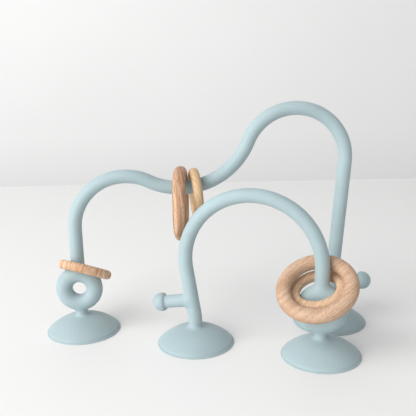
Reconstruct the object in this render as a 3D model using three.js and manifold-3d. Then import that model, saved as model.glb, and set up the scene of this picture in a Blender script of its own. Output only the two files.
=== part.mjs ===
// Suction-foot arch toy with teething rings: two silicone arches that stand on suction cups,
// and five beech rings threaded on them. Millimetres, +Z up.
//
// Each arch is one silicone moulding. It is written here as five nodes that meet with a small gap:
// the bent tube, the loop with its neck, the cup under the loop, the peg, and the cup under the peg's leg.
// A peg's knob pushes through another arch's loop, which is how arches are linked or closed into a ring.

import * as THREE from "three";
import { mergeVertices } from "three/addons/utils/BufferGeometryUtils.js";
import Module from "manifold-3d";

const wasm = await Module();
wasm.setup();

// ---------- driving dimensions ----------

const GAP = 0.3; // between nodes that touch
const DEGREE = Math.PI / 180;

const TUBE_RADIUS = 6.2;
const TUBE_SIDES = 12;

const CUP = {
  radius: 34,
  height: 15, // of the dome, without its collar
  power: 2.3, // how square the dome's shoulders are
  hollowRadius: 32,
  hollowHeight: 9,
  rimHeight: 1.2,
  collarRadius: 6.2,
  collarTop: 18,
};

const LOOP = {
  height: 41.1, // of the hole's centre above the table
  ringRadius: 13.8, // from the hole's centre to the middle of the section
  sectionRadius: 7.6,
  neckRadius: 5.4, // of the short neck under the loop
};

const PEG = {
  stubRadius: 5.75,
  knobRadius: 8.2,
  knobBack: 4.6, // how far behind its centre the knob's flat back is
  reach: 28.5, // from the leg's centre line to the knob's centre
};

const LARGE_RING = { outerRadius: 33.8, holeRadius: 21.3, thickness: 12 };
const SMALL_RING = { outerRadius: 24.6, holeRadius: 15.2, thickness: 8.6 };
const RING_SQUARENESS = 2.3; // exponent of the rounded section: 2 is an ellipse

// Each arch stands in its own XZ plane, with its first foot at the origin.
// A bend is a circle that the tube's centre line follows.
const LONG_ARCH = {
  loopFootX: 0,
  legX: -1.5,
  leftHump: { x: 45.5, z: 98, radius: 47 },
  dipRadius: 65.4,
  rightHump: { x: 197.6, z: 156.5, radius: 45 },
  pegFootX: 232,
  pegHeight: 42.2,
};

const SHORT_ARCH = {
  loopFootX: 110.2,
  legX: 110,
  hump: { x: 51.4, z: 76.9, radius: 58.6 },
  pegFootX: 0.3,
  pegHeight: 39.8,
  place: { x: 104.5, y: -34.8, turn: -17.2 * DEGREE },
};

// Where each ring lies: its centre in its arch's frame and the direction of its axis.
const LONG_ARCH_RINGS = [
  { name: "small_ring_on_leg", size: SMALL_RING, centre: [4.4, 2, 58.2], axis: [0.262, 0.374, 0.89] },
  { name: "large_ring_in_dip", size: LARGE_RING, centre: [94.9, 0, 118.7], axis: [0.999, -0.045, 0] },
  { name: "small_ring_in_dip", size: SMALL_RING, centre: [108.6, 0, 126.2], axis: [0.992, 0.107, 0.063] },
];

const SHORT_ARCH_RINGS = [
  { name: "small_ring_on_loop", size: SMALL_RING, centre: [106.9, -2.1, 58.05], axis: [-0.185, -0.33, 0.926] },
  { name: "large_ring_on_top", size: LARGE_RING, centre: [106.9, -10.1, 63.45], axis: [-0.117, -0.52, 0.846] },
];

// ---------- materials ----------

const silicone = new THREE.MeshStandardMaterial({ color: 0xa9c0c9, roughness: 0.72, metalness: 0 });
const beech = new THREE.MeshStandardMaterial({ color: 0xdcb791, roughness: 0.6, metalness: 0 });

// ---------- solids ----------

// A closed geometry as a solid that can be cut and joined.
function solidFrom(geometry) {
  const bare = geometry.clone();
  bare.deleteAttribute("normal");
  bare.deleteAttribute("uv");
  const merged = mergeVertices(bare, 1e-4);
  const mesh = new wasm.Mesh({
    numProp: 3,
    vertProperties: new Float32Array(merged.attributes.position.array),
    triVerts: new Uint32Array(merged.index.array),
  });
  return new wasm.Manifold(mesh);
}

function geometryFrom(solid) {
  const mesh = solid.getMesh();
  const geometry = new THREE.BufferGeometry();
  geometry.setAttribute("position", new THREE.BufferAttribute(mesh.vertProperties, 3));
  geometry.setIndex(new THREE.BufferAttribute(mesh.triVerts, 1));
  geometry.computeVertexNormals();
  return geometry;
}

function namedMesh(name, geometry, material) {
  const mesh = new THREE.Mesh(geometry, material);
  mesh.name = name;
  return mesh;
}

// Turns a lathe's axis from +Y to +Z.
function lathe(profile, segments) {
  const geometry = new THREE.LatheGeometry(profile, segments);
  geometry.rotateX(Math.PI / 2);
  return geometry;
}

// ---------- centre lines ----------

// A circular arc in the XZ plane. Angles run from +X towards +Z.
class UprightArc extends THREE.Curve {
  constructor(circle, from, to) {
    super();
    this.circle = circle;
    this.from = from;
    this.to = to;
  }

  getPoint(t, target = new THREE.Vector3()) {
    const angle = this.from + (this.to - this.from) * t;
    const { x, z, radius } = this.circle;
    return target.set(x + radius * Math.cos(angle), 0, z + radius * Math.sin(angle));
  }
}

function angleFrom(circle, other) {
  return Math.atan2(other.z - circle.z, other.x - circle.x);
}

// The circle that touches two others from above.
function dipBetween(left, right, radius) {
  const span = Math.hypot(right.x - left.x, right.z - left.z);
  const toLeft = left.radius + radius;
  const toRight = right.radius + radius;
  const along = (toLeft ** 2 - toRight ** 2 + span ** 2) / (2 * span);
  const above = Math.sqrt(toLeft ** 2 - along ** 2);
  const slope = angleFrom(left, right);
  return {
    x: left.x + along * Math.cos(slope) - above * Math.sin(slope),
    z: left.z + along * Math.sin(slope) + above * Math.cos(slope),
    radius,
  };
}

// How far from upright a leg leans, when it runs from its foot to touch the outside of a hump.
function leanOfLeg(hump, footX) {
  const sideways = Math.abs(footX - hump.x);
  const toFoot = Math.hypot(sideways, hump.z - CUP.collarTop);
  return Math.asin(hump.radius / toFoot) - Math.atan2(sideways, hump.z - CUP.collarTop);
}

function upright(x, z) {
  return new THREE.Vector3(x, 0, z);
}

// A point on the leaning leg's centre line.
function pointOnLeg(hump, footX, height) {
  const outward = Math.sign(footX - hump.x);
  return upright(footX + outward * (height - CUP.collarTop) * Math.tan(leanOfLeg(hump, footX)), height);
}

// The leaning leg ends square, so its low edge, not its centre, is one gap above the collar.
function legEnd(hump, footX) {
  const height = CUP.collarTop + GAP + TUBE_RADIUS * Math.sin(leanOfLeg(hump, footX));
  return pointOnLeg(hump, footX, height);
}

// At the loop the tube runs on into the ring, where the saddle is cut.
const loopEnd = LOOP.height + LOOP.ringRadius;

function longCentreLine() {
  const { legX, leftHump, rightHump, dipRadius, pegFootX } = LONG_ARCH;
  const dip = dipBetween(leftHump, rightHump, dipRadius);
  const lean = leanOfLeg(rightHump, pegFootX);
  const rightBend = new UprightArc(rightHump, angleFrom(rightHump, dip), -lean);
  const path = new THREE.CurvePath();
  path.add(new THREE.LineCurve3(upright(legX, loopEnd), upright(legX, leftHump.z)));
  path.add(new UprightArc(leftHump, Math.PI, angleFrom(leftHump, dip)));
  path.add(new UprightArc(dip, angleFrom(dip, leftHump), angleFrom(dip, rightHump)));
  path.add(rightBend);
  path.add(new THREE.LineCurve3(rightBend.getPoint(1), legEnd(rightHump, pegFootX)));
  return path;
}

function shortCentreLine() {
  const { legX, hump, pegFootX } = SHORT_ARCH;
  const bend = new UprightArc(hump, Math.PI + leanOfLeg(hump, pegFootX), 0);
  const path = new THREE.CurvePath();
  path.add(new THREE.LineCurve3(legEnd(hump, pegFootX), bend.getPoint(0)));
  path.add(bend);
  path.add(new THREE.LineCurve3(bend.getPoint(1), upright(legX, loopEnd)));
  return path;
}

// ---------- parts of an arch ----------

function tubeAlong(path, steps) {
  const section = new THREE.Shape().absarc(0, 0, TUBE_RADIUS, 0, 2 * Math.PI);
  return new THREE.ExtrudeGeometry(section, {
    steps,
    curveSegments: TUBE_SIDES / 2, // a full circle gets two points for each
    bevelEnabled: false,
    extrudePath: path,
  });
}

// A ring of round section standing on its edge, its hole along Y.
function loopRing(x, sectionRadius) {
  const geometry = new THREE.TorusGeometry(LOOP.ringRadius, sectionRadius, 12, 26);
  geometry.rotateX(Math.PI / 2);
  geometry.translate(x, 0, LOOP.height);
  return geometry;
}

// The bent tube, its lower end cut to sit on the loop.
function makeTube(path, steps, legX) {
  const saddle = solidFrom(loopRing(legX, LOOP.sectionRadius + GAP));
  return geometryFrom(solidFrom(tubeAlong(path, steps)).subtract(saddle));
}

// The loop and the short neck that carries it above its cup.
function makeLoop(legX, footX) {
  const neckTop = LOOP.height - LOOP.ringRadius;
  const neckBottom = CUP.collarTop + GAP;
  const neck = new THREE.CylinderGeometry(LOOP.neckRadius, LOOP.neckRadius, neckTop - neckBottom, 20);
  neck.rotateX(Math.PI / 2);
  neck.translate((legX + footX) / 2, 0, (neckTop + neckBottom) / 2);
  return geometryFrom(solidFrom(loopRing(legX, LOOP.sectionRadius)).add(solidFrom(neck)));
}

// A shallow dome on a thin flat rim, hollow underneath, with a collar that the leg stands on.
function makeCup(x) {
  const domeSteps = 6;
  const hollowSteps = 4;
  const collarStart = CUP.collarRadius + 3; // where the dome starts to turn up into the collar
  const domeHeight = (r) => CUP.rimHeight
    + (CUP.height - CUP.rimHeight) * (1 - (r / CUP.radius) ** CUP.power);
  const hollowHeight = (r) => CUP.hollowHeight * (1 - (r / CUP.hollowRadius) ** CUP.power);
  const profile = [];
  for (let step = 0; step <= hollowSteps; step += 1) {
    const r = CUP.hollowRadius * Math.sqrt(step / hollowSteps);
    profile.push(new THREE.Vector2(r, hollowHeight(r)));
  }
  profile.push(new THREE.Vector2(CUP.radius, 0));
  for (let step = 0; step <= domeSteps; step += 1) {
    const r = CUP.radius - (CUP.radius - collarStart) * (step / domeSteps);
    profile.push(new THREE.Vector2(r, domeHeight(r)));
  }
  profile.push(new THREE.Vector2(CUP.collarRadius, CUP.height + 1));
  profile.push(new THREE.Vector2(CUP.collarRadius, CUP.collarTop));
  profile.push(new THREE.Vector2(0, CUP.collarTop));
  const geometry = lathe(profile, 30);
  geometry.translate(x, 0, 0);
  return geometry;
}

// A stub with a flat-backed round knob, pointing away from the arch and square to its leaning leg.
function makePeg(hump, footX, height) {
  const outward = Math.sign(footX - hump.x);
  const lean = leanOfLeg(hump, footX);
  const knobStart = -Math.asin(PEG.knobBack / PEG.knobRadius);
  const knobSteps = 7;
  const profile = [
    new THREE.Vector2(0, 0),
    new THREE.Vector2(PEG.stubRadius, 0),
    new THREE.Vector2(PEG.stubRadius, PEG.reach - PEG.knobBack),
  ];
  for (let step = 0; step <= knobSteps; step += 1) {
    const angle = knobStart + (Math.PI / 2 - knobStart) * (step / knobSteps);
    const r = PEG.knobRadius * Math.cos(angle);
    profile.push(new THREE.Vector2(step === knobSteps ? 0 : r, PEG.reach + PEG.knobRadius * Math.sin(angle)));
  }
  const peg = new THREE.LatheGeometry(profile, 16);
  peg.rotateZ(-Math.PI / 2);

  const leg = new THREE.CylinderGeometry(TUBE_RADIUS + GAP, TUBE_RADIUS + GAP, 4 * TUBE_RADIUS, 2 * TUBE_SIDES);
  leg.rotateX(Math.PI / 2);
  const geometry = geometryFrom(solidFrom(peg).subtract(solidFrom(leg)));

  // Outward is +X until here. The droop is the leg's lean.
  geometry.rotateY(outward > 0 ? lean : Math.PI - lean);
  geometry.translate(pointOnLeg(hump, footX, height).x, 0, height);
  return geometry;
}

// ---------- wooden rings ----------

// Turned ring with a rounded section, wider than it is thick, made about +Z.
function ringGeometry({ outerRadius, holeRadius, thickness }) {
  const sectionSteps = 10;
  const middle = (outerRadius + holeRadius) / 2;
  const halfWidth = (outerRadius - holeRadius) / 2;
  const rounded = (value) => Math.sign(value) * Math.abs(value) ** (2 / RING_SQUARENESS);
  const profile = [];
  for (let step = 0; step < sectionSteps; step += 1) {
    const angle = 2 * Math.PI * ((step + 0.5) / sectionSteps);
    const r = middle + halfWidth * rounded(Math.cos(angle));
    profile.push(new THREE.Vector2(r, (thickness / 2) * rounded(Math.sin(angle))));
  }
  profile.push(profile[0].clone());
  return lathe(profile, 34);
}

function placedRing({ name, size, centre, axis }) {
  const ring = namedMesh(name, ringGeometry(size), beech);
  const direction = new THREE.Vector3(...axis).normalize();
  ring.quaternion.setFromUnitVectors(new THREE.Vector3(0, 0, 1), direction);
  ring.position.set(...centre);
  return ring;
}

// ---------- the two arches with their rings ----------

function buildArch(name, arch, hump, path, steps, rings) {
  const group = new THREE.Group();
  group.add(namedMesh(`${name}_tube`, makeTube(path, steps, arch.legX), silicone));
  group.add(namedMesh(`${name}_loop`, makeLoop(arch.legX, arch.loopFootX), silicone));
  group.add(namedMesh(`${name}_loop_cup`, makeCup(arch.loopFootX), silicone));
  group.add(namedMesh(`${name}_peg`, makePeg(hump, arch.pegFootX, arch.pegHeight), silicone));
  group.add(namedMesh(`${name}_peg_cup`, makeCup(arch.pegFootX), silicone));
  for (const ring of rings) {
    group.add(placedRing(ring));
  }
  return group;
}

const longArch = buildArch(
  "long_arch", LONG_ARCH, LONG_ARCH.rightHump, longCentreLine(), 64, LONG_ARCH_RINGS);

const shortArch = buildArch(
  "short_arch", SHORT_ARCH, SHORT_ARCH.hump, shortCentreLine(), 40, SHORT_ARCH_RINGS);
shortArch.position.set(SHORT_ARCH.place.x, SHORT_ARCH.place.y, 0);
shortArch.rotation.z = SHORT_ARCH.place.turn;

const toy = new THREE.Group();
toy.add(longArch, shortArch);

// The origin is the middle of the whole toy's box, on the surface that it stands on.
const box = new THREE.Box3().setFromObject(toy, true);
toy.position.set(-(box.min.x + box.max.x) / 2, -(box.min.y + box.max.y) / 2, 0);

export default toy;
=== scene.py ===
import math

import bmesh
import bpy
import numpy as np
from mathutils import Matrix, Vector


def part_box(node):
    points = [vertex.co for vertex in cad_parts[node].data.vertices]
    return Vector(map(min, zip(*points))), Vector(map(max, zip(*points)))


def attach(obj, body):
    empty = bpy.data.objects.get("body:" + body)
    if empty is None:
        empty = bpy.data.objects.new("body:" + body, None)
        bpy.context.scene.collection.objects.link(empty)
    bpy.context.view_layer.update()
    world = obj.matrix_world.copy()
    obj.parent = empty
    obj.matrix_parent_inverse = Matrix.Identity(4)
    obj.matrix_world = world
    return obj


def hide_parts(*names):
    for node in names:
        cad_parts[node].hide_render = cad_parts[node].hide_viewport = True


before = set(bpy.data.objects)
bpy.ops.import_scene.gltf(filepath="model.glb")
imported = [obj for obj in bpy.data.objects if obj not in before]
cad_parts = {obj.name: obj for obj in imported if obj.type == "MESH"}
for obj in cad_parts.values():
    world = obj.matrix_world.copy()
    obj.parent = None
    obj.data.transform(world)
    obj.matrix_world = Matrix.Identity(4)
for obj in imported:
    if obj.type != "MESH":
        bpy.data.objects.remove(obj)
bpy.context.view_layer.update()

# The looks of a suction-foot arch toy with teething rings.
#
# Each silicone arch is one continuous piece. A coarse quad cage of its tube, loop, neck and peg is
# subdivided, and every vertex is pulled onto a distance field that joins those shapes with soft
# fillets. The two suction cups are then turned on below, row by row. Each beech ring is a turned
# solid that lies where its CAD ring lies, with grain that runs through it as through a cut board.
#
# Arches are worked out in millimetres in their own plane: x from the loop foot towards the peg foot,
# y out of the plane, z up.

MM = 0.001

# ---------- driving dimensions, millimetres ----------

TUBE_RADIUS = 6.12
SIDES = 8  # of the coarse cage; three subdivisions make 64
SUBDIVISIONS = 3

CUP_RADIUS = 33.8
CUP_HEIGHT = 15.0
CUP_POWER = 2.3
CUP_RIM = 1.2
CUP_TOP = 17.0  # where the neck or leg starts to flare into the dome
CUP_FLARE = 4.6
FLARE_ROWS = 7
DOME_ROWS = 21
HOLLOW_ROWS = 20
LIP_WIDTH = 1.3
HOLLOW_RADIUS = 32.0
HOLLOW_HEIGHT = 9.0

LOOP_HEIGHT = 41.1
LOOP_RING = 13.8
LOOP_SECTION = 7.6
LOOP_STEPS = 20
LOOP_OVERLAP = 3.7  # the tube's and neck's axes end this far outside the middle of the loop's section
NECK_RADIUS = 5.4
NECK_SINK = 7.0  # how far the neck's axis runs on below the cup's top

STUB_RADIUS = 5.75
STUB_START = 4.5  # from the leg's axis, so that the stub's fillet stays on its own side
KNOB_RADIUS = 8.2
KNOB_BACK = 4.6
PEG_REACH = 28.5
PEG_ROW = 5.6  # spacing of cage rows along the leg where the peg leaves it
LAST_LEG = 80.0  # the peg is looked for on this much of the tube, from its foot

TUBE_FILLET = 4.0  # widths over which neighbouring shapes are blended
NECK_FILLET = 2.5
PEG_FILLET = 3.5
KNOB_FILLET = 1.0
KNOB_EDGE = 3.0

KNEE_HEIGHT = 24.0  # the leaning leg straightens up here, over KNEE_LENGTH each way
KNEE_LENGTH = 6.0
LEG_SINK = 3.0  # how far the leg's axis runs on below the cup's top
CAGE_STEP = 7.0
CAGE_START = 8.0  # from the tube's end at the loop to the first row of the cage
ROWS_BELOW_PEG = 4

ARCHES = {
    "long_arch": {
        "leg_x": -1.5,
        "humps": [(45.5, 98.0, 47.0), (197.6, 156.5, 45.0)],
        "dip_radius": 65.4,
        "foot_x": 232.0,
        "peg_height": 42.2,
    },
    "short_arch": {
        "leg_x": 0.2,
        "humps": [(58.8, 76.9, 58.6)],
        "dip_radius": None,
        "foot_x": 109.9,
        "peg_height": 39.8,
    },
}

LARGE_RING = {"outer": 33.8, "hole": 21.3, "thickness": 12.0}
SMALL_RING = {"outer": 24.6, "hole": 15.2, "thickness": 8.6}
RING_ALLOWANCE = 0.05  # each ring stays this far inside its nominal surface
SANDING_DEPTH = 0.015  # of each of the slight waves that hand sanding leaves
STEPS_AROUND = 160
STEPS_ACROSS = 40


# ---------- camera ----------

FOCAL_LENGTH = 53.37  # on the default 36 mm sensor
CAMERA_PLACE = Vector((-0.0144, -0.5048, 0.2462))
CAMERA_PITCH = math.radians(-13.74)
CAMERA_YAW = math.radians(-1.61)
CAMERA_ROLL = math.radians(-1.29)


def make_camera():
    data = bpy.data.cameras.new("camera")
    data.lens = FOCAL_LENGTH
    camera = bpy.data.objects.new("camera", data)
    bpy.context.collection.objects.link(camera)
    turn = Matrix.Rotation(CAMERA_YAW, 4, "Z")
    tilt = Matrix.Rotation(math.pi / 2 + CAMERA_PITCH, 4, "X")
    roll = Matrix.Rotation(CAMERA_ROLL, 4, "Z")
    camera.matrix_world = Matrix.Translation(CAMERA_PLACE) @ turn @ tilt @ roll
    bpy.context.scene.camera = camera


# ---------- centre lines ----------

class Line:
    """A straight stretch in the arch's plane."""

    def __init__(self, start, end):
        self.start = np.array(start, float)
        self.end = np.array(end, float)
        self.length = float(np.linalg.norm(self.end - self.start))
        self.direction = (self.end - self.start) / self.length

    def at(self, along):
        return self.start + self.direction * along, self.direction

    def distance(self, x, z):
        along = (x - self.start[0]) * self.direction[0] + (z - self.start[1]) * self.direction[1]
        along = np.clip(along, 0, self.length)
        return np.hypot(x - self.start[0] - self.direction[0] * along,
                        z - self.start[1] - self.direction[1] * along)


class Arc:
    """A circular stretch. Angles run from +x towards +z."""

    def __init__(self, centre, radius, start, end):
        self.centre = np.array(centre, float)
        self.radius = radius
        self.start = start
        self.end = end
        self.turn = math.copysign(1.0, end - start)
        self.length = radius * abs(end - start)

    def at(self, along):
        angle = self.start + self.turn * along / self.radius
        out = np.array([math.cos(angle), math.sin(angle)])
        return self.centre + self.radius * out, self.turn * np.array([-out[1], out[0]])

    def distance(self, x, z):
        dx = x - self.centre[0]
        dz = z - self.centre[1]
        middle = (self.start + self.end) / 2
        half = abs(self.end - self.start) / 2
        off = np.arctan2(dz, dx) - middle
        off = np.abs((off + math.pi) % (2 * math.pi) - math.pi)
        beyond = np.full_like(dx, np.inf)
        for point in (self.at(0)[0], self.at(self.length)[0]):
            beyond = np.minimum(beyond, np.hypot(x - point[0], z - point[1]))
        return np.where(off <= half, np.abs(np.hypot(dx, dz) - self.radius), beyond)


def heading(circle, other):
    return math.atan2(other[1] - circle[1], other[0] - circle[0])


def dip_between(left, right, radius):
    """The circle that touches both humps from above."""
    span = math.hypot(right[0] - left[0], right[1] - left[1])
    to_left = left[2] + radius
    to_right = right[2] + radius
    along = (to_left ** 2 - to_right ** 2 + span ** 2) / (2 * span)
    above = math.sqrt(to_left ** 2 - along ** 2)
    slope = heading(left, right)
    return (left[0] + along * math.cos(slope) - above * math.sin(slope),
            left[1] + along * math.sin(slope) + above * math.cos(slope), radius)


def make_path(arch):
    """The tube's centre line from the top of the loop to the top of the peg cup."""
    first = arch["humps"][0]
    last = arch["humps"][-1]
    path = [Line((arch["leg_x"], LOOP_HEIGHT + LOOP_RING + LOOP_OVERLAP), (arch["leg_x"], first[1]))]
    arrival = math.pi
    if arch["dip_radius"]:
        dip = dip_between(first, last, arch["dip_radius"])
        path.append(Arc(first[:2], first[2], arrival, heading(first, dip)))
        path.append(Arc(dip[:2], dip[2], heading(dip, first), heading(dip, last)))
        arrival = heading(last, dip)
    sideways = arch["foot_x"] - last[0]
    drop = last[1] - KNEE_HEIGHT
    lean = math.asin(last[2] / math.hypot(sideways, drop)) - math.atan2(sideways, drop)
    path.append(Arc(last[:2], last[2], arrival, -lean))
    top = path[-1].at(path[-1].length)[0]
    knee = np.array([arch["foot_x"], KNEE_HEIGHT])
    bend_start = knee + KNEE_LENGTH * np.array([math.sin(lean), math.cos(lean)])
    bend_end = knee - np.array([0.0, KNEE_LENGTH])
    bend_radius = KNEE_LENGTH / math.tan(lean / 2)
    path.append(Line(top, bend_start))
    path.append(Arc(bend_end + np.array([bend_radius, 0.0]), bend_radius, math.pi - lean, math.pi))
    path.append(Line(bend_end, (arch["foot_x"], CUP_TOP - LEG_SINK)))
    return path


def along_path(path, along):
    for piece in path:
        if along <= piece.length:
            return piece.at(along)
        along -= piece.length
    return path[-1].at(path[-1].length)


# ---------- distance field of an arch ----------

def smooth_min(a, b, width):
    near = np.clip((width - np.abs(a - b)) / width, 0, None)
    return np.minimum(a, b) - near * near * width / 4


def smooth_max(a, b, width):
    return -smooth_min(-a, -b, width)


def peg_frame(arch, path):
    """Where the peg's axis leaves the leg, the direction it points in, and how far along the path."""
    total = sum(piece.length for piece in path)
    steps_back = np.arange(0, LAST_LEG, 0.05)
    points = np.array([along_path(path, total - back)[0] for back in steps_back])
    back = steps_back[np.argmin(np.abs(points[:, 1] - arch["peg_height"]))]
    point, direction = along_path(path, total - back)
    return point, np.array([-direction[1], direction[0]]), total - back


def make_field(arch, path, peg_point, peg_direction):
    """Signed distance in millimetres from the joined surface of tube, loop, neck and peg."""
    neck = Line((0.0, CUP_TOP - NECK_SINK), (arch["leg_x"], LOOP_HEIGHT - LOOP_RING - LOOP_OVERLAP))

    def field(p):
        x, y, z = p[:, 0], p[:, 1], p[:, 2]
        line = np.min([piece.distance(x, z) for piece in path], axis=0)
        tube = np.hypot(line, y) - TUBE_RADIUS
        loop = np.hypot(np.hypot(x - arch["leg_x"], z - LOOP_HEIGHT) - LOOP_RING, y) - LOOP_SECTION
        stem = np.hypot(neck.distance(x, z), y) - NECK_RADIUS
        out = (x - peg_point[0]) * peg_direction[0] + (z - peg_point[1]) * peg_direction[1]
        aside = (z - peg_point[1]) * peg_direction[0] - (x - peg_point[0]) * peg_direction[1]
        across = np.hypot(aside, y)
        stub = np.hypot(across, out - np.clip(out, STUB_START, PEG_REACH)) - STUB_RADIUS
        ball = np.hypot(across, out - PEG_REACH) - KNOB_RADIUS
        knob = smooth_max(ball, PEG_REACH - KNOB_BACK - out, KNOB_EDGE)
        peg = smooth_min(stub, knob, KNOB_FILLET)
        body = smooth_min(smooth_min(tube, loop, TUBE_FILLET), stem, NECK_FILLET)
        return smooth_min(body, peg, PEG_FILLET)

    return field


def pull_onto(points, field, rounds=6):
    """Moves each point along the field's slope until it lies on the surface. The floor under the
    slope's size keeps steps short where the slope fades inside a fillet."""
    step = 0.02
    for _ in range(rounds):
        slope = np.stack([field(points + offset) - field(points - offset)
                          for offset in np.eye(3) * step], axis=1) / (2 * step)
        size = np.maximum(np.linalg.norm(slope, axis=1, keepdims=True), 0.2)
        points = points - field(points)[:, None] * slope / size ** 2
    return points


# ---------- the coarse cage of an arch ----------

class Cage:
    """Vertices and quads that rows and patches are added to."""

    def __init__(self):
        self.points = []
        self.faces = []

    def add(self, point):
        self.points.append(point)
        return len(self.points) - 1

    def row(self, centre, first, second, radius):
        """A ring of vertices about a centre, in the plane of two directions."""
        angles = [2 * math.pi * k / SIDES for k in range(SIDES)]
        return [self.add(centre + radius * (math.cos(a) * first + math.sin(a) * second)) for a in angles]

    def bridge(self, row, other):
        for k in range(SIDES):
            after = (k + 1) % SIDES
            self.faces.append((row[k], row[after], other[after], other[k]))


def upright(flat):
    return np.array([flat[0], 0.0, flat[1]])


OUT_OF_PLANE = np.array([0.0, 1.0, 0.0])
SIDEWAYS = np.array([1.0, 0.0, 0.0])


def cage_loop(cage, arch):
    """The ring of the loop, open at its top and bottom. Returns the two open rims."""
    grid = []
    for t in range(LOOP_STEPS):
        angle = 2 * math.pi * t / LOOP_STEPS
        out = upright((math.sin(angle), math.cos(angle)))
        middle = upright((arch["leg_x"], LOOP_HEIGHT)) + LOOP_RING * out
        grid.append(cage.row(middle, out, OUT_OF_PLANE, LOOP_SECTION))
    bottom = LOOP_STEPS // 2
    for t in range(LOOP_STEPS):
        after = (t + 1) % LOOP_STEPS
        for k in range(SIDES):
            nearest = k in (0, SIDES - 1)
            if nearest and (t in (0, bottom) or after in (0, bottom)):
                continue
            cage.faces.append((grid[t][k], grid[after][k], grid[after][(k + 1) % SIDES],
                               grid[t][(k + 1) % SIDES]))

    def rim(t, right):
        left = -right
        steps = [(right, 0), (right, 1), (0, 1), (left, 1), (left, 0), (left, -1), (0, -1), (right, -1)]
        return [grid[(t + dt) % LOOP_STEPS][k % SIDES] for dt, k in steps]

    return rim(0, 1), rim(bottom, -1)


def cage_neck(cage, arch, rim):
    """From the loop's lower rim down to the top of its cup. The rows move from under the loop, which
    stands a little to one side, towards the cup's middle: share is how much of that offset is left."""
    for share, height in ((0.75, CUP_TOP + 2.2), (0.45, CUP_TOP + 0.9), (0.35, CUP_TOP)):
        centre = upright((arch["leg_x"] * share, height))
        row = cage.row(centre, SIDEWAYS, OUT_OF_PLANE, NECK_RADIUS)
        cage.bridge(rim, row)
        rim = row


def cage_tube(cage, path, rim, peg_along):
    """From the loop's upper rim along the whole tube. Returns the rows either side of the peg."""
    cup_top = sum(piece.length for piece in path) - LEG_SINK
    before = np.linspace(CAGE_START, peg_along - PEG_ROW, round((peg_along - CAGE_START) / CAGE_STEP))
    after = np.linspace(peg_along + PEG_ROW, cup_top, ROWS_BELOW_PEG)
    rows = []
    for along in [*before, peg_along, *after]:
        point, direction = along_path(path, along)
        side = upright((direction[1], -direction[0]))
        rows.append(cage.row(upright(point), side, OUT_OF_PLANE, TUBE_RADIUS))
    middle = len(before)
    outward = SIDES // 2  # the vertex line that faces away from the arch on its last leg
    cage.bridge(rim, rows[0])
    for j in range(len(rows) - 1):
        for k in range(SIDES):
            if j in (middle - 1, middle) and k in (outward - 1, outward):
                continue
            after_k = (k + 1) % SIDES
            cage.faces.append((rows[j][k], rows[j][after_k], rows[j + 1][after_k], rows[j + 1][k]))
    above, level, below = rows[middle - 1], rows[middle], rows[middle + 1]
    return [above[outward], above[outward - 1], level[outward - 1], below[outward - 1],
            below[outward], below[outward + 1], level[outward + 1], above[outward + 1]]


def cage_peg(cage, rim, peg_point, peg_direction):
    """From the hole left in the leg out to the knob's end."""
    out = upright(peg_direction)
    up = upright((-peg_direction[1], peg_direction[0]))
    back = PEG_REACH - KNOB_BACK
    stations = [(8.6, STUB_RADIUS), (13.0, STUB_RADIUS), (18.0, STUB_RADIUS), (back - 1.6, STUB_RADIUS),
                (back - 0.2, STUB_RADIUS), (back + 0.1, KNOB_RADIUS - 1.3), (back + 1.6, KNOB_RADIUS - 0.2),
                (PEG_REACH, KNOB_RADIUS), (PEG_REACH + 4.2, 7.0), (PEG_REACH + 7.0, 4.3)]
    for reach, radius in stations:
        row = cage.row(upright(peg_point) + out * reach, up, OUT_OF_PLANE, radius)
        cage.bridge(rim, row)
        rim = row
    tip = cage.add(upright(peg_point) + out * (PEG_REACH + KNOB_RADIUS))
    for k in range(0, SIDES, 2):
        cage.faces.append((tip, rim[k], rim[(k + 1) % SIDES], rim[(k + 2) % SIDES]))


def subdivided(points, faces):
    """The cage after Catmull-Clark subdivision, as arrays of points and quads."""
    mesh = bpy.data.meshes.new("cage")
    mesh.from_pydata([tuple(p) for p in points], [], faces)
    holder = bpy.data.objects.new("cage", mesh)
    bpy.context.collection.objects.link(holder)
    modifier = holder.modifiers.new("smooth", "SUBSURF")
    modifier.levels = SUBDIVISIONS
    result = holder.evaluated_get(bpy.context.evaluated_depsgraph_get()).to_mesh()
    fine = np.array([v.co for v in result.vertices])
    quads = [tuple(p.vertices) for p in result.polygons]
    bpy.data.objects.remove(holder)
    bpy.data.meshes.remove(mesh)
    return fine, quads


# ---------- suction cups ----------

def dome_height(r):
    return CUP_RIM + (CUP_HEIGHT - CUP_RIM) * (1 - (r / CUP_RADIUS) ** CUP_POWER)


def hollow_height(r):
    return HOLLOW_HEIGHT * (1 - (r / HOLLOW_RADIUS) ** CUP_POWER)


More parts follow.
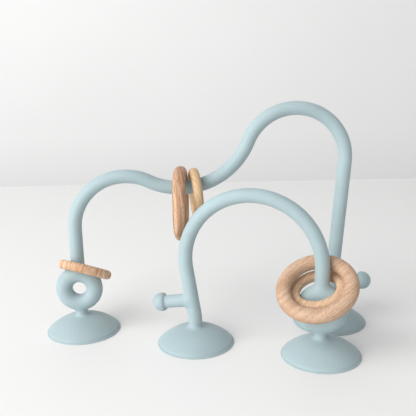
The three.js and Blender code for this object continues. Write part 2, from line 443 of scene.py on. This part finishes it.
def cup_profile(neck_radius):
    """Radius and height of each row, from under the neck, over the dome and the rim, to the hollow."""
    flare_end = neck_radius + CUP_FLARE
    slope = (dome_height(flare_end + 0.1) - dome_height(flare_end)) / 0.1
    corners = np.array([[neck_radius, CUP_TOP], [neck_radius, CUP_TOP - 1.7],
                        [flare_end - 2.4, dome_height(flare_end) - 2.4 * slope],
                        [flare_end, dome_height(flare_end)]])
    rows = []
    for t in np.linspace(0, 1, FLARE_ROWS + 1)[1:]:
        weights = np.array([(1 - t) ** 3, 3 * t * (1 - t) ** 2, 3 * t * t * (1 - t), t ** 3])
        rows.append(tuple(weights @ corners))
    lip = CUP_RADIUS - LIP_WIDTH  # a small step down, then a thin rounded edge that stands on the table
    for r in np.linspace(flare_end, lip - 0.3, DOME_ROWS + 1)[1:]:
        rows.append((r, dome_height(r)))
    rows += [(lip - 0.08, CUP_RIM + 0.35), (lip + 0.12, CUP_RIM + 0.08), (lip + 0.4, CUP_RIM - 0.04),
             (CUP_RADIUS - 0.62, CUP_RIM - 0.1), (CUP_RADIUS - 0.34, CUP_RIM - 0.22),
             (CUP_RADIUS - 0.1, CUP_RIM - 0.46), (CUP_RADIUS, 0.44), (CUP_RADIUS - 0.08, 0.2),
             (CUP_RADIUS - 0.28, 0.04), (CUP_RADIUS - 0.5, 0.0), (HOLLOW_RADIUS + 0.5, 0.0),
             (HOLLOW_RADIUS + 0.1, 0.05)]
    for r in np.linspace(HOLLOW_RADIUS - 0.5, 1.0, HOLLOW_ROWS):
        rows.append((r, hollow_height(r)))
    return rows


def turn_cup(points, faces, rim, foot_x):
    """Adds a suction cup below an open rim: its faces to the list, its points to those returned.
    Its rows slide from the rim's centre to the foot's."""
    edge = points[rim]
    middle = edge.mean(axis=0)
    angles = np.arctan2(edge[:, 1], edge[:, 0] - middle[0])
    order = np.argsort(angles)
    rim = [rim[i] for i in order]
    angles = angles[order]
    radius = float(np.hypot(edge[:, 0] - middle[0], edge[:, 1]).mean())
    all_points = list(points)
    previous = rim
    count = len(rim)
    for index, (r, z) in enumerate(cup_profile(radius)):
        settled = min(1.0, (index + 1) / FLARE_ROWS)
        centre = middle[0] + (foot_x - middle[0]) * settled
        row = []
        for angle in angles:
            row.append(len(all_points))
            all_points.append(np.array([centre + r * math.cos(angle), r * math.sin(angle), z]))
        for k in range(count):
            after = (k + 1) % count
            faces.append((previous[k], previous[after], row[after], row[k]))
        previous = row
    tip = len(all_points)
    all_points.append(np.array([foot_x, 0.0, HOLLOW_HEIGHT]))
    for k in range(count):
        faces.append((tip, previous[k], previous[(k + 1) % count]))
    return np.array(all_points)


def open_rims(faces, points):
    """The vertices of a mesh's two open rims, as two lists, the rim under the loop first."""
    counts = {}
    for face in faces:
        for a, b in zip(face, face[1:] + face[:1]):
            key = (min(a, b), max(a, b))
            counts[key] = counts.get(key, 0) + 1
    edge_points = sorted({v for edge, n in counts.items() if n == 1 for v in edge})
    spread = points[edge_points][:, 0]
    split = (spread.min() + spread.max()) / 2
    near = [v for v in edge_points if points[v][0] < split]
    far = [v for v in edge_points if points[v][0] >= split]
    return near, far


# ---------- whole arch ----------

def cup_centre(node):
    low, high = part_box(node)
    return np.array([(low[0] + high[0]) / 2, (low[1] + high[1]) / 2])


def shape_arch(arch):
    """Points and faces of a whole arch in its own plane, in millimetres."""
    path = make_path(arch)
    peg_point, peg_direction, peg_along = peg_frame(arch, path)
    cage = Cage()
    upper, lower = cage_loop(cage, arch)
    cage_neck(cage, arch, lower)
    hole = cage_tube(cage, path, upper, peg_along)
    cage_peg(cage, hole, peg_point, peg_direction)
    points, faces = subdivided(cage.points, cage.faces)
    points = pull_onto(points, make_field(arch, path, peg_point, peg_direction))
    near, far = open_rims(faces, points)
    points = turn_cup(points, faces, near, 0.0)
    points = turn_cup(points, faces, far, arch["foot_x"])
    return points, faces


def stand_arch(name, points):
    """The points in metres, with the arch's two feet over its two CAD cups."""
    start = cup_centre(f"{name}_loop_cup")
    end = cup_centre(f"{name}_peg_cup")
    along = (end - start) / np.linalg.norm(end - start)
    across = np.array([-along[1], along[0]])
    placed = np.zeros_like(points)
    placed[:, :2] = start + MM * (points[:, :1] * along + points[:, 1:2] * across)
    placed[:, 2] = MM * points[:, 2]
    return placed


def face_outwards(mesh):
    shaped = bmesh.new()
    shaped.from_mesh(mesh)
    bmesh.ops.recalc_face_normals(shaped, faces=shaped.faces)
    shaped.to_mesh(mesh)
    shaped.free()


def make_arch(name, material):
    """The attribute "off_plane" keeps each vertex's distance from the arch's plane, for its parting line."""
    points, faces = shape_arch(ARCHES[name])
    mesh = bpy.data.meshes.new(f"{name}_silicone")
    mesh.from_pydata([tuple(p) for p in stand_arch(name, points)], [], faces)
    seam = mesh.attributes.new("off_plane", "FLOAT", "POINT")
    seam.data.foreach_set("value", points[:, 1].astype(np.float32))
    face_outwards(mesh)
    mesh.polygons.foreach_set("use_smooth", [True] * len(mesh.polygons))
    mesh.materials.append(material)
    piece = bpy.data.objects.new(f"{name}_silicone", mesh)
    bpy.context.collection.objects.link(piece)
    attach(piece, name)
    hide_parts(*(f"{name}_{part}" for part in ("tube", "loop", "loop_cup", "peg", "peg_cup")))


# ---------- beech rings ----------

def ring_lie(node):
    """Centre and axis of a CAD ring, from its own vertices. The axis points up, or to the right on
    the rings that hang."""
    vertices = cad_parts[node].data.vertices
    points = np.array([v.co for v in vertices])
    centre = (points.min(axis=0) + points.max(axis=0)) / 2
    _, _, directions = np.linalg.svd(points - points.mean(axis=0), full_matrices=False)
    axis = directions[2]
    up_or_right = np.array([0.4, 0.0, 1.0])
    return Vector(centre), Vector(axis if axis @ up_or_right > 0 else -axis)


def turned_ring(ring, seed):
    """Points and faces of a ring about +z, in millimetres, with slight hand sanding."""
    size = ring["size"]
    middle = (size["outer"] + size["hole"]) / 2
    half_width = (size["outer"] - size["hole"]) / 2 - RING_ALLOWANCE
    half_thickness = size["thickness"] / 2 - RING_ALLOWANCE
    power = 2 / ring["squareness"]
    random = np.random.default_rng(seed)
    waves = [(random.integers(2, 7), random.uniform(0, 2 * math.pi)) for _ in range(4)]
    points = []
    faces = []
    for i in range(STEPS_AROUND):
        angle = 2 * math.pi * i / STEPS_AROUND
        sanding = sum(SANDING_DEPTH * (math.sin(n * angle + phase) - 1) for n, phase in waves)
        for j in range(STEPS_ACROSS):
            turn = 2 * math.pi * j / STEPS_ACROSS
            c, s = math.cos(turn), math.sin(turn)
            r = middle + (half_width + sanding) * math.copysign(abs(c) ** power, c)
            z = (half_thickness + sanding) * math.copysign(abs(s) ** power, s)
            points.append((r * math.cos(angle), r * math.sin(angle), z))
            row = i * STEPS_ACROSS
            next_row = ((i + 1) % STEPS_AROUND) * STEPS_ACROSS
            next_j = (j + 1) % STEPS_ACROSS
            faces.append((row + j, next_row + j, next_row + next_j, row + next_j))
    return points, faces


def make_ring(name, ring, material, seed):
    """The attribute "board" keeps each vertex's place in the ring's own frame, where the grain runs
    along x and the ring's axis is z. "end_grain" says how squarely the grain meets the surface."""
    board, faces = turned_ring(ring, seed)
    centre, axis = ring_lie(ring["node"])
    lean = Vector((0, 0, 1)).rotation_difference(axis).to_matrix()
    lean = lean @ Matrix.Rotation(ring["grain_turn"], 3, "Z")
    mesh = bpy.data.meshes.new(name)
    mesh.from_pydata([lean @ Vector(point) * MM for point in board], [], faces)
    mesh.attributes.new("board", "FLOAT_VECTOR", "POINT").data.foreach_set("vector", np.ravel(board))
    mesh.polygons.foreach_set("use_smooth", [True] * len(faces))
    normals = np.array([v.normal for v in mesh.vertices]) @ np.array(lean.col[0])
    mesh.attributes.new("end_grain", "FLOAT", "POINT").data.foreach_set("value", np.abs(normals) ** 3)
    mesh.materials.append(material)
    piece = bpy.data.objects.new(name, mesh)
    piece.location = centre
    bpy.context.collection.objects.link(piece)
    bpy.context.view_layer.update()
    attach(piece, ring["body"])
    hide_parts(ring["node"])


# ---------- materials ----------

class Nodes:
    """Short calls for building a material's node tree."""

    def __init__(self, name):
        self.material = bpy.data.materials.new(name)
        self.material.use_nodes = True
        self.tree = self.material.node_tree
        self.shader = self.tree.nodes["Principled BSDF"]

    def add(self, kind, **settings):
        node = self.tree.nodes.new(kind)
        for key, value in settings.items():
            setattr(node, key, value)
        return node

    def link(self, source, target):
        self.tree.links.new(source, target)

    def math(self, operation, first, second):
        node = self.add("ShaderNodeMath", operation=operation)
        for socket, value in zip(node.inputs, (first, second)):
            if isinstance(value, (int, float)):
                socket.default_value = value
            else:
                self.link(value, socket)
        return node.outputs[0]

    def noise(self, vector, scale, detail=2.0, roughness=0.5):
        node = self.add("ShaderNodeTexNoise")
        node.inputs["Scale"].default_value = scale
        node.inputs["Detail"].default_value = detail
        node.inputs["Roughness"].default_value = roughness
        self.link(vector, node.inputs["Vector"])
        return node.outputs["Fac"]

    def ramp(self, source, stops):
        node = self.add("ShaderNodeValToRGB")
        elements = node.color_ramp.elements
        while len(elements) < len(stops):
            elements.new(0.5)
        for element, (position, colour) in zip(elements, stops):
            element.position = position
            element.color = (*colour, 1.0)
        self.link(source, node.inputs["Fac"])
        return node.outputs["Color"]

    def mix(self, factor, first, second, blend="MIX"):
        node = self.add("ShaderNodeMix", data_type="RGBA", blend_type=blend)
        for socket, value in ((node.inputs[0], factor), (node.inputs[6], first), (node.inputs[7], second)):
            if isinstance(value, (int, float)):
                socket.default_value = value
            elif isinstance(value, tuple):
                socket.default_value = (*value, 1.0)
            else:
                self.link(value, socket)
        return node.outputs[2]

    def remap(self, source, low, high, to_low, to_high):
        node = self.add("ShaderNodeMapRange")
        for key, value in (("From Min", low), ("From Max", high), ("To Min", to_low), ("To Max", to_high)):
            node.inputs[key].default_value = value
        self.link(source, node.inputs["Value"])
        return node.outputs["Result"]


def silicone_material():
    """Matte moulded silicone: soft cloudy tone, a fine blasted-mould skin and a faint parting line."""
    n = Nodes("silicone")
    place = n.add("ShaderNodeTexCoord").outputs["Object"]
    cloud = n.noise(place, 28.0, 3.0)
    speck = n.noise(place, 900.0, 2.0)
    tone = n.ramp(cloud, [(0.3, (0.324, 0.421, 0.447)), (0.7, (0.360, 0.462, 0.489))])
    dusted = n.mix(n.remap(speck, 0.62, 0.78, 0.0, 0.25), tone, (0.47, 0.56, 0.58))
    n.link(dusted, n.shader.inputs["Base Color"])
    skin = n.noise(place, 2400.0, 2.0, 0.6)
    n.link(n.remap(cloud, 0.3, 0.7, 0.56, 0.66), n.shader.inputs["Roughness"])
    off_plane = n.add("ShaderNodeAttribute", attribute_name="off_plane").outputs["Fac"]
    ridge = n.remap(n.math("ABSOLUTE", off_plane, 0.0), 0.0, 0.32, 1.0, 0.0)
    height = n.math("ADD", n.math("MULTIPLY", skin, 0.5), n.math("MULTIPLY", ridge, 0.9))
    bump = n.add("ShaderNodeBump")
    bump.inputs["Strength"].default_value = 0.25
    bump.inputs["Distance"].default_value = 0.00012
    n.link(height, bump.inputs["Height"])
    n.link(bump.outputs["Normal"], n.shader.inputs["Normal"])
    n.shader.inputs["Subsurface Weight"].default_value = 0.12
    n.shader.inputs["Subsurface Scale"].default_value = 0.003
    n.shader.inputs["Specular IOR Level"].default_value = 0.35
    n.shader.inputs["Sheen Weight"].default_value = 0.18
    n.shader.inputs["Sheen Roughness"].default_value = 0.5
    return n.material


def beech_material(name, ring, seed):
    """Bare beech: growth layers, fine fibres along the grain, short brown flecks, darker end grain.

    Works in the ring's board frame, in millimetres: the grain runs along x and layer_tilt turns the
    growth layers about it, from lying in the ring's plane to standing along its axis. figure, from
    0 to 1, says how strongly the layers show.
    """
    pale, dark = ring["pale"], ring["dark"]
    n = Nodes(name)
    place = n.add("ShaderNodeAttribute", attribute_name="board").outputs["Vector"]
    board = n.add("ShaderNodeMapping")
    board.inputs["Location"].default_value = (13.0 * seed, 29.0 * seed, 17.0 * seed)
    board.inputs["Rotation"].default_value = (ring["layer_tilt"], 0.0, 0.0)
    n.link(place, board.inputs["Vector"])

    def stretched(along, across, through):
        node = n.add("ShaderNodeMapping")
        node.inputs["Scale"].default_value = (along, across, through)
        n.link(board.outputs["Vector"], node.inputs["Vector"])
        return node.outputs["Vector"]

    layers = n.noise(stretched(0.010, 0.05, 0.22), 1.0, 2.0, 0.5)
    rows = n.noise(stretched(0.015, 0.08, 0.85), 1.0, 1.0, 0.5)
    fibres = n.noise(stretched(0.12, 2.4, 2.8), 1.0, 3.0, 0.6)
    flecks = n.noise(stretched(0.45, 1.8, 2.4), 1.0, 1.0, 0.5)
    pores = n.noise(stretched(1.0, 4.2, 5.0), 1.0, 2.0, 0.5)

    middle = tuple(0.5 * a + 0.5 * b for a, b in zip(pale, dark))
    brown = tuple(0.6 * channel for channel in dark)
    tone = n.ramp(layers, [(0.36, pale), (0.47, middle), (0.53, pale), (0.63, middle)])
    tone = n.mix(n.remap(rows, 0.46, 0.62, 0.0, ring["figure"]), tone, dark)
    tone = n.mix(n.remap(fibres, 0.42, 0.72, 0.0, 0.45), tone, dark)
    tone = n.mix(n.remap(flecks, 0.58, 0.66, 0.0, 0.60), tone, brown)
    tone = n.mix(n.remap(pores, 0.60, 0.72, 0.0, 0.45), tone, brown)
    end_grain = n.add("ShaderNodeAttribute", attribute_name="end_grain").outputs["Fac"]
    tone = n.mix(n.math("MULTIPLY", end_grain, 0.35), tone, dark)
    n.link(tone, n.shader.inputs["Base Color"])

    height = n.math("SUBTRACT", n.math("MULTIPLY", fibres, 0.7), pores)
    bump = n.add("ShaderNodeBump")
    bump.inputs["Strength"].default_value = 0.5
    bump.inputs["Distance"].default_value = 0.00025
    n.link(height, bump.inputs["Height"])
    n.link(bump.outputs["Normal"], n.shader.inputs["Normal"])
    n.link(n.remap(fibres, 0.3, 0.8, 0.5, 0.68), n.shader.inputs["Roughness"])
    n.shader.inputs["Specular IOR Level"].default_value = 0.3
    return n.material


def plain_material(name, colour, roughness):
    """Matte paint or paper with a barely uneven tone, for the stage."""
    n = Nodes(name)
    place = n.add("ShaderNodeTexCoord").outputs["Object"]
    cloud = n.noise(place, 3.0, 2.0)
    shade = tuple(0.985 * channel for channel in colour)
    n.link(n.ramp(cloud, [(0.3, shade), (0.7, colour)]), n.shader.inputs["Base Color"])
    n.shader.inputs["Roughness"].default_value = roughness
    n.shader.inputs["Specular IOR Level"].default_value = 0.2
    return n.material


# ---------- floor, backdrop and light ----------

FLOOR_REACH = 2.5
FLOOR_BACK = 0.72  # the table's far edge behind the toy's middle
FLOOR_TURN = math.radians(-2.0)
BACKDROP_BACK = 1.6


def make_stage():
    """A pale table whose far edge the camera sees against a pale backdrop."""
    def sheet(name, corners, material):
        mesh = bpy.data.meshes.new(name)
        mesh.from_pydata(corners, [], [(0, 1, 2, 3)])
        mesh.materials.append(material)
        piece = bpy.data.objects.new(name, mesh)
        bpy.context.collection.objects.link(piece)

    swing = FLOOR_REACH * math.tan(FLOOR_TURN)
    sheet("floor", [(-FLOOR_REACH, -FLOOR_REACH, 0), (FLOOR_REACH, -FLOOR_REACH, 0),
                    (FLOOR_REACH, FLOOR_BACK + swing, 0), (-FLOOR_REACH, FLOOR_BACK - swing, 0)],
          plain_material("floor", (0.82, 0.825, 0.825), 0.5))
    sheet("backdrop", [(-3, BACKDROP_BACK, -1.5), (3, BACKDROP_BACK, -1.5),
                       (3, BACKDROP_BACK, 2.5), (-3, BACKDROP_BACK, 2.5)],
          plain_material("backdrop", (0.87, 0.87, 0.875), 0.9))


def add_area_light(name, place, target, size, watts, colour):
    data = bpy.data.lights.new(name, "AREA")
    data.shape = "SQUARE"
    data.size = size
    data.energy = watts
    data.color = colour
    lamp = bpy.data.objects.new(name, data)
    lamp.location = place
    lamp.rotation_euler = (Vector(target) - Vector(place)).to_track_quat("-Z", "Y").to_euler()
    bpy.context.collection.objects.link(lamp)


def make_light():
    """An even pale room and one large soft window, to the front left."""
    world = bpy.data.worlds.new("studio")
    world.use_nodes = True
    background = world.node_tree.nodes["Background"]
    background.inputs["Color"].default_value = (1.0, 1.0, 1.0, 1.0)
    background.inputs["Strength"].default_value = 0.53
    bpy.context.scene.world = world
    add_area_light("window", (-1.5, -1.1, 1.0), (0, 0.1, 0.1), 2.3, 66.0, (1.0, 0.99, 0.97))
    bpy.context.scene.view_settings.view_transform = "Standard"


# ---------- the toy ----------

RINGS = {
    "leg_ring_wood": {
        "node": "small_ring_on_leg", "body": "leg_ring", "size": SMALL_RING, "slot": "beech_small_rings",
        "pale": (0.82, 0.62, 0.45), "dark": (0.47, 0.24, 0.125), "figure": 0.85,
        "squareness": 2.4, "grain_turn": 1.5, "layer_tilt": 1.5,
    },
    "large_hanging_ring_wood": {
        "node": "large_ring_in_dip", "body": "large_hanging_ring", "size": LARGE_RING,
        "slot": "beech_large_rings",
        "pale": (0.73, 0.50, 0.33), "dark": (0.32, 0.155, 0.085), "figure": 0.75,
        "squareness": 2.1, "grain_turn": 0.12, "layer_tilt": 0.10,
    },
    "small_hanging_ring_wood": {
        "node": "small_ring_in_dip", "body": "small_hanging_ring", "size": SMALL_RING,
        "slot": "beech_small_rings",
        "pale": (0.77, 0.57, 0.37), "dark": (0.46, 0.28, 0.14), "figure": 0.45,
        "squareness": 2.3, "grain_turn": 0.3, "layer_tilt": 0.5,
    },
    "small_stacked_ring_wood": {
        "node": "small_ring_on_loop", "body": "small_stacked_ring", "size": SMALL_RING,
        "slot": "beech_small_rings",
        "pale": (0.78, 0.57, 0.40), "dark": (0.50, 0.29, 0.16), "figure": 0.4,
        "squareness": 2.5, "grain_turn": 0.9, "layer_tilt": 0.9,
    },
    "large_stacked_ring_wood": {
        "node": "large_ring_on_top", "body": "large_stacked_ring", "size": LARGE_RING,
        "slot": "beech_large_rings",
        "pale": (0.62, 0.445, 0.325), "dark": (0.40, 0.22, 0.125), "figure": 0.25,
        "squareness": 2.15, "grain_turn": 0.5, "layer_tilt": 0.9,
    },
}

make_camera()
make_stage()
make_light()
silicone = silicone_material()
for arch_name in ARCHES:
    make_arch(arch_name, silicone)
for number, (ring_name, ring) in enumerate(RINGS.items(), 1):
    make_ring(ring_name, ring, beech_material(f"beech_{number}", ring, number), number)
